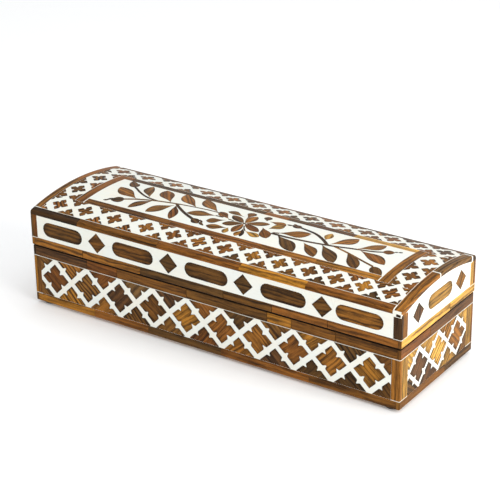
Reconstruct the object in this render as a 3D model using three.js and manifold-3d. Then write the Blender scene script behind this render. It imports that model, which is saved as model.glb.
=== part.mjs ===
import * as THREE from 'three';
import Module from 'manifold-3d';
import { mergeVertices } from 'three/addons/utils/BufferGeometryUtils.js';

// An inlaid wooden box with a shallow domed lid on two butt hinges.
// Millimetres, +Z up, the front faces -Y and the length runs along X.
// Each outer skin is one eased block less its core, and is cut into its strips and panels.

const wasm = await Module();
wasm.setup();

// Overall sizes: the lid is the widest part.
const boxLength = 304.8;
const boxDepth = 101.6;
const lidOverhang = 0.4;
const baseHeight = 44.2;
const lidSideHeight = 26.8;
const domeRise = 6.7;
const seamGap = 0.3;
const easedEdge = 0.6;

// Boards under the inlay.
const wallThickness = 6;
const floorThickness = 5;
const domeBoardThickness = 5;
const sideInlayThickness = 2.4;
const topInlayThickness = 3;

// Strips of the base.
const baseBottomRailHeight = 6.5;
const baseTopRailHeight = 7.7;
const basePostWidth = 6.5;
const basePostReturn = 10;

// Strips of the lid.
const lidBottomRailHeight = 6.5;
const lidPostWidth = 6;
const lidPostReturn = 8;
const topRailWidth = 5;
const archStripWidth = 6;
const noseRadius = 2.4;
const coverFlare = 0.2; // how much more the cover's underside falls than its top

// Frame of the top: the lattice border lies outside it, the scroll panel inside.
const borderWidthAlong = 17.5;
const borderWidthAcross = 18;
const frameStripWidth = 7;
const frameRailWidth = 6.3;

// Feet.
const footHeight = 2;
const footDiameter = 13;
const footInset = 8.5;

// Hinges.
const hingeLength = 30;
const hingeFromEnd = 52;
const leafDepth = 7;
const leafThickness = 0.8;
const leafClearance = 0.15;
const knuckleRadius = 2;
const knuckleBoreRadius = 1.2;
const pinRadius = 0.9;
const pinHeadLength = 0.8;
const turningClearance = 0.3;

// Facets of the curved faces.
const domeFacets = 26;
const noseFacets = 4;
const roundFacets = 20;

// Derived sizes.
const baseLength = boxLength - 2 * lidOverhang;
const baseDepth = boxDepth - 2 * lidOverhang;
const baseBottom = footHeight;
const baseRim = baseBottom + baseHeight;
const lidRim = baseRim + seamGap;
const domeEdge = lidRim + lidSideHeight;
const domeTop = domeEdge + domeRise;
const halfDepth = boxDepth / 2;
const domeRadius = (halfDepth ** 2 + domeRise ** 2) / (2 * domeRise);
const domeCentre = domeTop - domeRadius;
const railBottom = domeHeight(halfDepth - topRailWidth, topInlayThickness);
const axisY = halfDepth + turningClearance + knuckleRadius;
const axisZ = (baseRim + lidRim) / 2;
const hingeReach = axisY + knuckleRadius - halfDepth;
const hingeX = boxLength / 2 - hingeFromEnd;
const far = 2 * (boxLength + boxDepth);

const darkWood = { color: 0x4a3226, roughness: 0.5, metalness: 0 };
const brownWood = { color: 0x7d5230, roughness: 0.5, metalness: 0 };
const goldenWood = { color: 0xa8763c, roughness: 0.5, metalness: 0 };
const plainWood = { color: 0xc79f6d, roughness: 0.7, metalness: 0 };
const bone = { color: 0xf1ece0, roughness: 0.4, metalness: 0 };
const brass = { color: 0xb08d45, roughness: 0.35, metalness: 1 };
const felt = { color: 0x241f1c, roughness: 0.9, metalness: 0 };

const box = new THREE.Group();

/** Height of the dome over a distance from the middle, less a depth into it. */
function domeHeight(y, depth = 0) {
  const radius = domeRadius - depth;
  const height = domeCentre + Math.sqrt(radius ** 2 - y ** 2);
  return depth > 0 ? height - coverFlare * (domeCentre + radius - height) : height;
}

/** A closed geometry as a solid that can be cut. */
function solid(geometry) {
  geometry.deleteAttribute('normal');
  geometry.deleteAttribute('uv');
  const welded = mergeVertices(geometry, 1e-5);
  return new wasm.Manifold(new wasm.Mesh({
    numProp: 3,
    vertProperties: new Float32Array(welded.attributes.position.array),
    triVerts: new Uint32Array(welded.index.array),
  }));
}

/** The block between two corners, with both corners exactly as given. */
function block([x0, y0, z0], [x1, y1, z1]) {
  const geometry = new THREE.BoxGeometry(1, 1, 1);
  const corners = geometry.attributes.position;
  for (let i = 0; i < corners.count; i++) {
    corners.setXYZ(
      i,
      corners.getX(i) < 0 ? x0 : x1,
      corners.getY(i) < 0 ? y0 : y1,
      corners.getZ(i) < 0 ? z0 : z1,
    );
  }
  return solid(geometry);
}

/** A block about the middle of the box, from one height to another. */
function column(length, depth, z0, z1) {
  return block([-length / 2, -depth / 2, z0], [length / 2, depth / 2, z1]);
}

/** A shape drawn as (y, z), drawn out along X about x = 0. Its ends are eased by ease. */
function alongX(shape, length, ease = 0) {
  const geometry = new THREE.ExtrudeGeometry(shape, {
    depth: length - 2 * ease,
    bevelEnabled: ease > 0,
    bevelThickness: ease,
    bevelSize: ease,
    bevelOffset: -ease,
    bevelSegments: 1,
    curveSegments: roundFacets,
  });
  geometry.translate(0, 0, ease - length / 2);
  geometry.applyMatrix4(new THREE.Matrix4().set(0, 0, 1, 0, 1, 0, 0, 0, 0, 1, 0, 0, 0, 0, 0, 1));
  // Square ends are set exactly, so that a block of the same length meets them.
  const points = geometry.attributes.position;
  for (let i = 0; ease === 0 && i < points.count; i++) {
    points.setX(i, Math.sign(points.getX(i)) * length / 2);
  }
  return solid(geometry);
}

/** Adds one closed piece. */
function add(name, piece, finish) {
  const mesh = piece.getMesh();
  const geometry = new THREE.BufferGeometry();
  geometry.setAttribute('position', new THREE.BufferAttribute(new Float32Array(mesh.vertProperties), 3));
  geometry.setIndex(new THREE.BufferAttribute(new Uint32Array(mesh.triVerts), 1));
  geometry.translate(0, -hingeReach / 2, 0);
  geometry.computeVertexNormals();
  const node = new THREE.Mesh(geometry, new THREE.MeshStandardMaterial(finish));
  node.name = name;
  box.add(node);
}

/** Points of the dome, from y = -reach to y = reach, at a depth into it. */
function domePoints(reach, depth) {
  const points = [];
  for (let i = 0; i <= domeFacets; i++) {
    const y = reach * (2 * i / domeFacets - 1);
    points.push(new THREE.Vector2(y, domeHeight(y, depth)));
  }
  return points;
}

/** The lid's outline from front to back: flat sides, rounded noses and the dome. */
function lidOutline() {
  const noseY = halfDepth - noseRadius;
  const reach = noseY * domeRadius / (domeRadius - noseRadius);
  const noseZ = domeCentre + Math.sqrt((domeRadius - noseRadius) ** 2 - noseY ** 2);
  const tangent = Math.asin(reach / domeRadius);
  const nose = [];
  for (let i = 0; i < noseFacets; i++) {
    const angle = Math.PI / 2 - (Math.PI / 2 - tangent) * i / noseFacets;
    nose.push([noseY + noseRadius * Math.sin(angle), noseZ + noseRadius * Math.cos(angle)]);
  }
  const front = nose.map(([y, z]) => new THREE.Vector2(-y, z));
  const back = nose.map(([y, z]) => new THREE.Vector2(y, z)).reverse();
  const under = easedEdge;
  return new THREE.Shape([
    new THREE.Vector2(-halfDepth + under, lidRim),
    new THREE.Vector2(-halfDepth, lidRim + under),
    ...front,
    ...domePoints(reach, 0),
    ...back,
    new THREE.Vector2(halfDepth, lidRim + under),
    new THREE.Vector2(halfDepth - under, lidRim),
  ].reverse());
}

/** A hollow of the lid under the dome at a depth, between two faces reach from the middle. */
function underDome(reach, depth, bottom) {
  return new THREE.Shape([
    new THREE.Vector2(reach, bottom),
    ...domePoints(reach, depth).reverse(),
    new THREE.Vector2(-reach, bottom),
  ]);
}

const eachSide = [['left', -1], ['right', 1]];
const eachFace = [['front', -1], ['back', 1]];

/** Everything beyond a distance from the middle along X, towards one side. */
function beyondX(side, distance) {
  return side > 0
    ? block([distance, -far, -far], [far, far, far])
    : block([-far, -far, -far], [-distance, far, far]);
}

/** Everything beyond a distance from the middle along Y, towards one face. */
function beyondY(face, distance) {
  return face > 0
    ? block([-far, distance, -far], [far, far, far])
    : block([-far, -far, -far], [far, -distance, far]);
}

/** Everything between two heights. */
function between(z0, z1) {
  return block([-far, -far, z0], [far, far, z1]);
}

/** Cuts two long boards and two ends between them from a block, about a hollow. */
function addBoards(whole, prefix, innerLength, innerDepth, endName) {
  const inside = column(far, innerDepth, -far, far);
  for (const [name, face] of eachFace) {
    add(`${prefix}_${name}_wall`, whole.intersect(beyondY(face, innerDepth / 2)), plainWood);
  }
  for (const [name, side] of eachSide) {
    const end = whole.intersect(inside).intersect(beyondX(side, innerLength / 2));
    add(`${prefix}_${name}_${endName}`, end, plainWood);
  }
}

/** Cuts four strips of skin from a block: the end strips cover the corners. */
function addRails(whole, prefix, suffix, length, depth, finishes) {
  const innerX = length / 2 - sideInlayThickness;
  const innerY = depth / 2 - sideInlayThickness;
  const middle = column(2 * innerX, far, -far, far);
  for (const [name, side] of eachSide) {
    add(`${prefix}_${name}_${suffix}`, whole.intersect(beyondX(side, innerX)), finishes[name]);
  }
  for (const [name, face] of eachFace) {
    const strip = whole.intersect(middle).intersect(beyondY(face, innerY));
    add(`${prefix}_${name}_${suffix}`, strip, finishes[name]);
  }
}

/** Cuts four corner posts of skin from a block, each with a leg on two faces. */
function addPosts(whole, prefix, length, depth, width, returnWidth, finish) {
  const skin = 2 * sideInlayThickness;
  const core = column(length - skin, depth - skin, -far, far);
  for (const [faceName, face] of eachFace) {
    for (const [sideName, side] of eachSide) {
      const corner = whole
        .intersect(beyondX(side, length / 2 - width))
        .intersect(beyondY(face, depth / 2 - returnWidth));
      add(`${prefix}_post_${faceName}_${sideName}`, corner.subtract(core), finish);
    }
  }
}

/** Cuts the inlaid panels of the two long faces from a block. */
function addFacePanels(whole, prefix, length, depth, postWidth) {
  const middle = whole.intersect(column(length - 2 * postWidth, far, -far, far));
  for (const [name, face] of eachFace) {
    const panel = middle.intersect(beyondY(face, depth / 2 - sideInlayThickness));
    add(`${prefix}_${name}_inlay`, panel, bone);
  }
}

/** Cuts the inlaid panels of the two ends from a block already clear of the posts. */
function addEndPanels(whole, prefix, length) {
  for (const [name, side] of eachSide) {
    const panel = whole.intersect(beyondX(side, length / 2 - sideInlayThickness));
    add(`${prefix}_${name}_inlay`, panel, bone);
  }
}

/** Room for the two hinge leaves in a rim. */
function leafPockets(rim, direction) {
  const inner = rim - direction * (leafThickness + leafClearance);
  const outer = rim + direction;
  const reach = hingeLength / 2 + leafClearance;
  const pockets = eachSide.map(([, side]) => block(
    [side * hingeX - reach, halfDepth - leafDepth - leafClearance, Math.min(inner, outer)],
    [side * hingeX + reach, far, Math.max(inner, outer)],
  ));
  return pockets[0].add(pockets[1]);
}

/** The base: boards, floor and outer skin. */
function addBase() {
  const outline = new THREE.Shape([
    new THREE.Vector2(-baseDepth / 2, baseBottom + easedEdge),
    new THREE.Vector2(-baseDepth / 2 + easedEdge, baseBottom),
    new THREE.Vector2(baseDepth / 2 - easedEdge, baseBottom),
    new THREE.Vector2(baseDepth / 2, baseBottom + easedEdge),
    new THREE.Vector2(baseDepth / 2, baseRim - easedEdge),
    new THREE.Vector2(baseDepth / 2 - easedEdge, baseRim),
    new THREE.Vector2(-baseDepth / 2 + easedEdge, baseRim),
    new THREE.Vector2(-baseDepth / 2, baseRim - easedEdge),
  ]);
  const coreLength = baseLength - 2 * sideInlayThickness;
  const coreDepth = baseDepth - 2 * sideInlayThickness;
  const innerLength = coreLength - 2 * wallThickness;
  const innerDepth = coreDepth - 2 * wallThickness;
  const outer = alongX(outline, baseLength, easedEdge).subtract(leafPockets(baseRim, 1));
  const core = outer.intersect(column(coreLength, coreDepth, -far, far));
  addBoards(core, 'base', innerLength, innerDepth, 'wall');
  const floorTop = baseBottom + floorThickness;
  add('base_floor', column(innerLength, innerDepth, baseBottom, floorTop), plainWood);

  const railTop = baseBottom + baseBottomRailHeight;
  const topRailBottom = baseRim - baseTopRailHeight;
  const bottom = outer.intersect(between(0, railTop));
  const middle = outer.intersect(between(railTop, topRailBottom));
  const top = outer.intersect(between(topRailBottom, far));
  const bottomWoods = { front: brownWood, back: brownWood, left: brownWood, right: darkWood };
  const topWoods = { front: brownWood, back: brownWood, left: darkWood, right: brownWood };
  addRails(bottom, 'base', 'bottom_rail', baseLength, baseDepth, bottomWoods);
  addRails(top, 'base', 'top_rail', baseLength, baseDepth, topWoods);
  addPosts(middle, 'base', baseLength, baseDepth, basePostWidth, basePostReturn, goldenWood);
  addFacePanels(middle, 'base', baseLength, baseDepth, basePostWidth);
  const betweenPosts = column(far, baseDepth - 2 * basePostReturn, -far, far);
  addEndPanels(middle.intersect(betweenPosts), 'base', baseLength);
}

/** The four pads under the base. */
function addFeet() {
  const radius = footDiameter / 2;
  const profile = [[0, 0], [radius - 0.4, 0], [radius, 0.4], [radius, footHeight], [0, footHeight]];
  const points = profile.map(([r, z]) => new THREE.Vector2(r, z));
  for (const [faceName, face] of eachFace) {
    for (const [sideName, side] of eachSide) {
      const pad = new THREE.LatheGeometry(points, roundFacets);
      pad.rotateX(Math.PI / 2);
      const x = side * (baseLength / 2 - footInset);
      const y = face * (baseDepth / 2 - footInset);
      pad.translate(x, y, 0);
      add(`foot_${faceName}_${sideName}`, solid(pad), felt);
    }
  }
}

/** The lid: boards, dome and outer skin. */
function addLid() {
  const coreLength = boxLength - 2 * sideInlayThickness;
  const coreDepth = boxDepth - 2 * sideInlayThickness;
  const innerLength = coreLength - 2 * wallThickness;
  const innerDepth = coreDepth - 2 * wallThickness;
  const topReach = halfDepth - topRailWidth;
  const outer = alongX(lidOutline(), boxLength, easedEdge).subtract(leafPockets(lidRim, -1));
  const sides = between(-far, railBottom)
    .add(alongX(underDome(topReach, topInlayThickness, 0), far));
  const body = outer.intersect(sides);
  const core = body.intersect(column(coreLength, coreDepth, -far, far));
  const hollowShape = underDome(innerDepth / 2, topInlayThickness + domeBoardThickness, -far);
  const overHollow = core.intersect(column(innerLength, innerDepth, -far, far));
  addBoards(core, 'lid', innerLength, innerDepth, 'end');
  add('lid_dome_board', overHollow.subtract(alongX(hollowShape, innerLength)), plainWood);

  const railTop = lidRim + lidBottomRailHeight;
  const woods = { front: brownWood, back: brownWood, left: brownWood, right: goldenWood };
  const bottom = body.intersect(between(-far, railTop));
  const middle = body.intersect(between(railTop, railBottom));
  addRails(bottom, 'lid', 'bottom_rail', boxLength, boxDepth, woods);
  addPosts(middle, 'lid', boxLength, boxDepth, lidPostWidth, lidPostReturn, darkWood);
  addFacePanels(middle, 'lid', boxLength, boxDepth, lidPostWidth);

  // The end panels pass between the posts and widen over them, up to the arch.
  const overPosts = between(-far, railBottom)
    .subtract(column(far, boxDepth - 2 * lidPostReturn, -far, far));
  const aboveRail = body.intersect(between(railTop, far));
  addEndPanels(aboveRail.subtract(overPosts), 'lid', boxLength);
  addTop(outer.subtract(sides));
}

/** The dome's cover: rails, arch strips, lattice border, frame and scroll panel. */
function addTop(cover) {
  const railY = halfDepth - topRailWidth;
  const stripX = boxLength / 2 - archStripWidth;
  const frameX = stripX - borderWidthAlong;
  const frameY = railY - borderWidthAcross;
  const panelX = frameX - frameStripWidth;
  const panelY = frameY - frameRailWidth;
  for (const [name, face] of eachFace) {
    // Each rail covers one corner and stops at the arch strip that covers the other.
    const strip = cover.intersect(beyondY(face, railY)).subtract(beyondX(-face, stripX));
    add(`lid_${name}_top_rail`, strip, darkWood);
  }
  for (const [name, side] of eachSide) {
    const strip = cover.intersect(beyondX(side, stripX)).subtract(beyondY(side, railY));
    add(`lid_${name}_arch_strip`, strip, brownWood);
  }
  const inside = column(2 * stripX, 2 * railY, -far, far);
  const frameBlock = column(2 * frameX, 2 * frameY, -far, far);
  const panelBlock = column(2 * panelX, 2 * panelY, -far, far);
  add('lid_top_border', cover.intersect(inside).subtract(frameBlock), bone);
  add('lid_top_panel', cover.intersect(panelBlock), bone);
  const frame = cover.intersect(frameBlock).subtract(panelBlock);
  const sideFrame = column(2 * panelX, far, -far, far);
  for (const [name, side] of eachSide) {
    add(`lid_frame_${name}`, frame.intersect(beyondX(side, panelX)), goldenWood);
  }
  for (const [name, face] of eachFace) {
    const strip = frame.intersect(sideFrame).intersect(beyondY(face, 0));
    add(`lid_frame_${name}`, strip, brownWood);
  }
}

/** A ring about the hinge axis, between two distances along it. */
function knuckle(x0, x1) {
  const shape = new THREE.Shape();
  shape.absarc(axisY, axisZ, knuckleRadius, 0, 2 * Math.PI, false);
  const bore = new THREE.Path();
  bore.absarc(axisY, axisZ, knuckleBoreRadius, 0, 2 * Math.PI, true);
  shape.holes.push(bore);
  return alongX(shape, x1 - x0).translate([(x0 + x1) / 2, 0, 0]);
}

/** One leaf with its knuckles: spans are their distances along the axis. */
function leaf(x, z0, z1, faceY, spans) {
  const half = hingeLength / 2;
  let piece = block([x - half, halfDepth - leafDepth, z0], [x + half, faceY, z1]);
  for (const [x0, x1] of spans) {
    const reach = axisY - (knuckleRadius + knuckleBoreRadius) / 2;
    piece = piece
      .add(block([x + x0, faceY - 1, z0], [x + x1, reach, z1]))
      .add(knuckle(x + x0, x + x1));
  }
  return piece;
}

/** Two hinges, each of two leaves and a pin that stays with the base. */
function addHinges() {
  const half = hingeLength / 2;
  const third = hingeLength / 6;
  const slack = turningClearance;
  const baseFaceY = baseDepth / 2;
  for (const [name, side] of eachSide) {
    const x = side * hingeX;
    const baseTop = baseRim - leafClearance / 2;
    const lidBottom = lidRim + leafClearance / 2;
    const outerSpans = [[-half, -third - slack], [third + slack, half]];
    const baseLeaf = leaf(x, baseTop - leafThickness, baseTop, baseFaceY, outerSpans);
    const lidLeaf = leaf(x, lidBottom, lidBottom + leafThickness, baseFaceY, [[-third, third]]);
    add(`hinge_${name}_base_leaf`, baseLeaf, brass);
    add(`hinge_${name}_lid_leaf`, lidLeaf, brass);
    const endX = half + pinHeadLength;
    const headRadius = (pinRadius + knuckleRadius) / 2;
    const rod = [[0, -endX], [headRadius, -endX], [headRadius, -half], [pinRadius, -half]];
    const mirrored = rod.map(([r, d]) => [r, -d]).reverse();
    const points = [...rod, ...mirrored].map(([r, d]) => new THREE.Vector2(r, d));
    const pin = new THREE.LatheGeometry(points, roundFacets);
    pin.rotateZ(-Math.PI / 2);
    pin.translate(x, axisY, axisZ);
    add(`hinge_${name}_pin`, solid(pin), brass);
  }
}

addBase();
addFeet();
addLid();
addHinges();

export default box;
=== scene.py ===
import math
import random
import bpy
import bmesh
from mathutils import Vector, Matrix


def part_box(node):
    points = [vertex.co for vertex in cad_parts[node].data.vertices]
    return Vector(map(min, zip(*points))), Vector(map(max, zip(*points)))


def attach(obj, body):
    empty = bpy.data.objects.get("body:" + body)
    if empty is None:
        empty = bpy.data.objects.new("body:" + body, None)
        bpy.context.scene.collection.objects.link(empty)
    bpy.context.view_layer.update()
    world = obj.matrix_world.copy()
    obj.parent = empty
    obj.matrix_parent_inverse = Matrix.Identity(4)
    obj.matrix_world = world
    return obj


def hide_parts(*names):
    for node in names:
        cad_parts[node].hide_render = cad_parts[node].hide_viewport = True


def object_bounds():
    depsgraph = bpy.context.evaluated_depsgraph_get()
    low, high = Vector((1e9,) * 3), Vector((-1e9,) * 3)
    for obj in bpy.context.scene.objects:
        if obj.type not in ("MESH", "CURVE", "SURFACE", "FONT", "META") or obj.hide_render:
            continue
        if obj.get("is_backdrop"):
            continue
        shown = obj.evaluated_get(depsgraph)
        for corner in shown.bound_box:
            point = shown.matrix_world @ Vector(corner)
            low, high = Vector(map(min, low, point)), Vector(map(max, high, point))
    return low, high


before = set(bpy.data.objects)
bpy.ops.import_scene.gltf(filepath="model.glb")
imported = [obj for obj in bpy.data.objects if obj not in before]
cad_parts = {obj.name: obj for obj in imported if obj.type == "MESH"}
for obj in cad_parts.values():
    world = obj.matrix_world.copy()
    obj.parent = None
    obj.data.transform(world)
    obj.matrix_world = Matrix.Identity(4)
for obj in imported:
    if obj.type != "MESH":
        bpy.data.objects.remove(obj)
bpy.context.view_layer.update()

scene = bpy.context.scene
mm = 0.001
random.seed(12)


# places and sizes, in millimetres from the CAD nodes

def nodeBox(name):
    low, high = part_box(name)
    return low / mm, high / mm


def outerCorners(body, topNode):
    # the block that a body's outer strips fill, up to the top of one node
    front = nodeBox(f"{body}_front_bottom_rail")[0]
    low = Vector((nodeBox(f"{body}_left_bottom_rail")[0].x, front.y, front.z))
    farX = nodeBox(f"{body}_right_bottom_rail")[1].x
    farY = nodeBox(f"{body}_back_bottom_rail")[1].y
    return low, Vector((farX, farY, nodeBox(topNode)[1].z))


lidLow, lidHigh = outerCorners("lid", "lid_top_panel")
baseLow, baseHigh = outerCorners("base", "base_front_top_rail")
lidLength = lidHigh.x - lidLow.x
lidDepth = lidHigh.y - lidLow.y
middleY = (lidLow.y + lidHigh.y) / 2

# the dome is one arc: how far the border's outer edge drops gives its radius
borderLow, borderHigh = nodeBox("lid_top_border")
panelLow, panelHigh = nodeBox("lid_top_panel")
borderReach = (borderHigh.y - borderLow.y) / 2
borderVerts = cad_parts["lid_top_border"].data.vertices
borderEdge = max(v.co.z / mm for v in borderVerts if abs(v.co.y / mm - borderLow.y) < 0.01)
borderDrop = lidHigh.z - borderEdge
domeRadius = (borderReach * borderReach + borderDrop * borderDrop) / (2 * borderDrop)
domeCentre = lidHigh.z - domeRadius


def overDome(reach):
    # the length along the arc from the crown to a point this far out
    return domeRadius * math.asin(reach / domeRadius)


domeLength = 2 * overDome(lidDepth / 2)
print("dome radius", round(domeRadius, 2), "length over the arc", round(domeLength, 2))


# woods and finishes

def linear(level):
    level /= 255
    return level / 12.92 if level <= 0.04045 else ((level + 0.055) / 1.055) ** 2.4


def shade(red, green, blue):
    return linear(red), linear(green), linear(blue), 1.0


woods = {
    "ebony": shade(60, 43, 34),
    "umber": shade(83, 60, 40),
    "plum": shade(89, 62, 48),
    "smoke": shade(104, 80, 64),
    "walnut": shade(96, 67, 39),
    "chestnut": shade(108, 73, 41),
    "russet": shade(110, 69, 38),
    "olive": shade(118, 84, 52),
    "teak": shade(122, 80, 45),
    "oak": shade(136, 93, 50),
    "amber": shade(150, 106, 53),
    "honey": shade(168, 120, 58),
    "straw": shade(196, 156, 102),
    "wheat": shade(156, 122, 76),
    "board": shade(186, 146, 100),
    "bone": shade(240, 236, 226),
}


class Wiring:
    # shorthand for building a material's node tree
    def __init__(self, name):
        self.material = bpy.data.materials.new(name)
        self.material.use_nodes = True
        self.tree = self.material.node_tree
        self.shader = self.tree.nodes["Principled BSDF"]

    def add(self, kind, inputs=None, **settings):
        made = self.tree.nodes.new(kind)
        for key, value in settings.items():
            setattr(made, key, value)
        for key, value in (inputs or {}).items():
            self.put(made.inputs[key], value)
        return made

    def put(self, socket, value):
        if isinstance(value, bpy.types.NodeSocket):
            self.tree.links.new(value, socket)
        else:
            socket.default_value = value

    def dress(self, values):
        # gives the shader's own sockets their values
        for name, value in values.items():
            self.put(self.shader.inputs[name], value)

    def math(self, operation, first, second=0.0, third=0.0, clamp=False):
        inputs = {0: first, 1: second, 2: third}
        return self.add("ShaderNodeMath", inputs, operation=operation, use_clamp=clamp).outputs[0]

    def layer(self, noise, strength, under):
        # adds a noise that swings about a half to what lies under it
        return self.math("MULTIPLY_ADD", self.math("SUBTRACT", noise, 0.5), strength, under)

    def noise(self, vector, scale, detail=3.0, rough=0.5, distortion=0.0):
        inputs = {"Vector": vector, "Scale": scale, "Detail": detail}
        inputs.update({"Roughness": rough, "Distortion": distortion})
        return self.add("ShaderNodeTexNoise", inputs).outputs["Fac"]

    def scaled(self, vector, x, y, z):
        return self.add("ShaderNodeVectorMath", {0: vector, 1: (x, y, z)}, operation="MULTIPLY").outputs[0]

    def millimetres(self):
        return self.scaled(self.add("ShaderNodeTexCoord").outputs["Object"], 1 / mm, 1 / mm, 1 / mm)

    def ramp(self, value, low, high, outLow=0.0, outHigh=1.0, smooth=False):
        inputs = {"Value": value, "From Min": low, "From Max": high, "To Min": outLow, "To Max": outHigh}
        made = self.add("ShaderNodeMapRange", inputs, clamp=True)
        if smooth:
            made.interpolation_type = "SMOOTHSTEP"
        return made.outputs[0]

    def mix(self, factor, first, second):
        made = self.add("ShaderNodeMix", data_type="RGBA")
        self.put(made.inputs[0], factor)
        self.put(made.inputs[6], first)
        self.put(made.inputs[7], second)
        return made.outputs[2]

    def tint(self, colour, factor):
        made = self.add("ShaderNodeVectorMath", operation="SCALE")
        self.put(made.inputs[0], colour)
        self.put(made.inputs["Scale"], factor)
        return made.outputs[0]

    def bump(self, height, strength, distance):
        inputs = {"Height": height, "Strength": strength, "Distance": distance * mm}
        self.put(self.shader.inputs["Normal"], self.add("ShaderNodeBump", inputs).outputs[0])


woodLook = {
    "growth": 1.05, "fibre": 0.85, "fine": 0.95, "cloud": 0.9, "bands": 0.9,  # how strong each layer is
    "pores": 0.65, "edgeScorchAndShade": 0.88, "burnFall": 5.0,  # a high fall keeps the darkening close to the rim: scorch round the inlaid pieces, and painted shade on the seam's faces
    "darkTint": (0.25, 0.22, 0.12), "lightTint": (1.66, 1.45, 0.68),
    "roughness": 0.36, "bump": 0.35,
    "gloss": {"Specular IOR Level": 0.08, "Coat Weight": 0.03, "Coat Roughness": 0.24},
}


def woodFigure(w, look, place, bent, stripe):
    # light and dark of the grain from 0 to 1, and its fibre
    growth = w.noise(w.scaled(bent, 0.018, 0.42, 1.0), 1.0, 3.0, 0.55)
    fibre = w.noise(w.scaled(bent, 0.11, 2.6, 1.0), 1.0, 4.0, 0.65)
    fine = w.noise(w.scaled(bent, 0.5, 9.0, 1.0), 1.0, 2.0, 0.6)
    cloud = w.noise(w.scaled(place, 0.07, 0.16, 1.0), 1.0, 3.0, 0.6, 0.6)
    wave = {"Vector": w.scaled(bent, 0.004, 0.105, 1.0), "Scale": 1.0, "Distortion": 2.2}
    wave.update({"Detail": 2.0, "Detail Scale": 1.6})
    rings = w.add("ShaderNodeTexWave", wave, bands_direction="Y").outputs["Fac"]
    bands = w.math("SUBTRACT", w.ramp(rings, 0.32, 0.62, smooth=True), 0.55)
    mixed = w.layer(growth, look["growth"] * 2.4, 0.5)
    mixed = w.layer(fibre, look["fibre"] * 2.0, mixed)
    mixed = w.layer(fine, look["fine"], mixed)
    mixed = w.layer(cloud, look["cloud"], mixed)
    striped = w.math("MULTIPLY", bands, w.math("MULTIPLY", stripe, look["bands"]))
    return w.math("ADD", mixed, striped, clamp=True), fibre


def makeWood(name, look):
    # every slip carries its own colour, grain direction and figure, so one finish serves all of the woods
    w = Wiring(name)
    grain = w.add("ShaderNodeSeparateXYZ", {0: w.add("ShaderNodeUVMap", uv_map="grain").outputs[0]})
    tone = w.add("ShaderNodeAttribute", attribute_name="tone").outputs["Color"]
    figure = w.add("ShaderNodeAttribute", attribute_name="figure").outputs["Vector"]
    stripe, seed, rim = w.add("ShaderNodeSeparateXYZ", {0: figure}).outputs
    along, across = grain.outputs[0], grain.outputs[1]
    depth = w.math("MULTIPLY", seed, 41.0)  # each slip is cut from its own depth of the log
    place = w.add("ShaderNodeCombineXYZ", {0: along, 1: across, 2: depth}).outputs[0]
    wander = w.layer(w.noise(w.scaled(place, 0.035, 0.09, 1.0), 1.0, 2.0), 5.0, across)
    bent = w.add("ShaderNodeCombineXYZ", {0: along, 1: wander, 2: depth}).outputs[0]
    mixed, fibre = woodFigure(w, look, place, bent, stripe)
    colour = w.mix(mixed, w.scaled(tone, *look["darkTint"]), w.scaled(tone, *look["lightTint"]))
    pores = w.ramp(w.noise(w.scaled(bent, 0.3, 5.5, 1.0), 1.0, 1.0), 0.60, 0.72)
    patches = w.ramp(w.noise(w.scaled(place, 0.22, 0.22, 1.0), 1.0, 2.0), 0.3, 0.6, 0.35, 1.0)
    # darker towards the rim: the scorched rims of the inlaid pieces, and painted shade over the faces along
    # the seam, which are rim all over
    scorchAndSeamShade = w.math("MULTIPLY", w.math("POWER", rim, look["burnFall"]), patches)
    darken = w.math("MULTIPLY_ADD", pores, -look["pores"] * 0.55, 1.0)
    darken = w.math("MULTIPLY", darken, w.math("MULTIPLY_ADD", scorchAndSeamShade, -look["edgeScorchAndShade"], 1.0))
    rough = w.math("MULTIPLY_ADD", fibre, 0.16, look["roughness"] - 0.08)
    rough = w.math("MULTIPLY_ADD", pores, 0.12, rough)
    w.dress({"Base Color": w.tint(colour, darken), "Roughness": rough, **look["gloss"]})
    w.bump(w.math("MULTIPLY_ADD", pores, -1.0, w.math("MULTIPLY", fibre, 0.5)), look["bump"], 0.06)
    return w.material


boneLook = {
    "cool": shade(235, 238, 231), "warm": shade(240, 237, 224), "streak": shade(226, 222, 212),
    "pore": shade(190, 172, 146), "crack": shade(168, 146, 120),
    "streaks": 0.45, "pores": 0.22, "cracks": 0.10, "roughness": 0.34, "bump": 0.25,
    "gloss": {"Specular IOR Level": 0.35, "Coat Weight": 0.08, "Coat Roughness": 0.2},
    "depth": {"Subsurface Weight": 0.06, "Subsurface Radius": (0.0012, 0.0009, 0.0006)},
}


def makeBone(name, look):
    # cream bone set in pale resin: soft clouds, small pores and a few hairlines
    w = Wiring(name)
    place = w.millimetres()
    cloud = w.noise(place, 0.06, 3.0, 0.55)
    streak = w.noise(w.scaled(place, 0.09, 0.5, 0.7), 1.0, 3.0, 0.6)
    pores = w.ramp(w.noise(w.scaled(place, 0.8, 2.4, 2.4), 1.0, 2.0), 0.66, 0.76)
    cells = {"Vector": place, "Scale": 0.045, "Randomness": 1.0}
    crack = w.add("ShaderNodeTexVoronoi", cells, feature="DISTANCE_TO_EDGE").outputs["Distance"]
    hairline = w.ramp(crack, 0.0, 0.006, 1.0, 0.0)
    colour = w.mix(w.ramp(cloud, 0.35, 0.68), look["cool"], look["warm"])
    colour = w.mix(w.ramp(streak, 0.5, 0.8, 0.0, look["streaks"]), colour, look["streak"])
    colour = w.mix(w.math("MULTIPLY", pores, look["pores"]), colour, look["pore"])
    colour = w.mix(w.math("MULTIPLY", hairline, look["cracks"]), colour, look["crack"])
    rough = w.math("MULTIPLY_ADD", streak, 0.18, look["roughness"] - 0.06)
    w.dress({"Base Color": colour, "Roughness": rough, **look["gloss"], **look["depth"]})
    w.bump(w.math("MULTIPLY_ADD", pores, -0.6, streak), look["bump"], 0.05)
    return w.material


brassLook = {"bright": shade(196, 160, 88), "aged": shade(132, 98, 52), "roughness": 0.2, "bump": 0.3}


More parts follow.
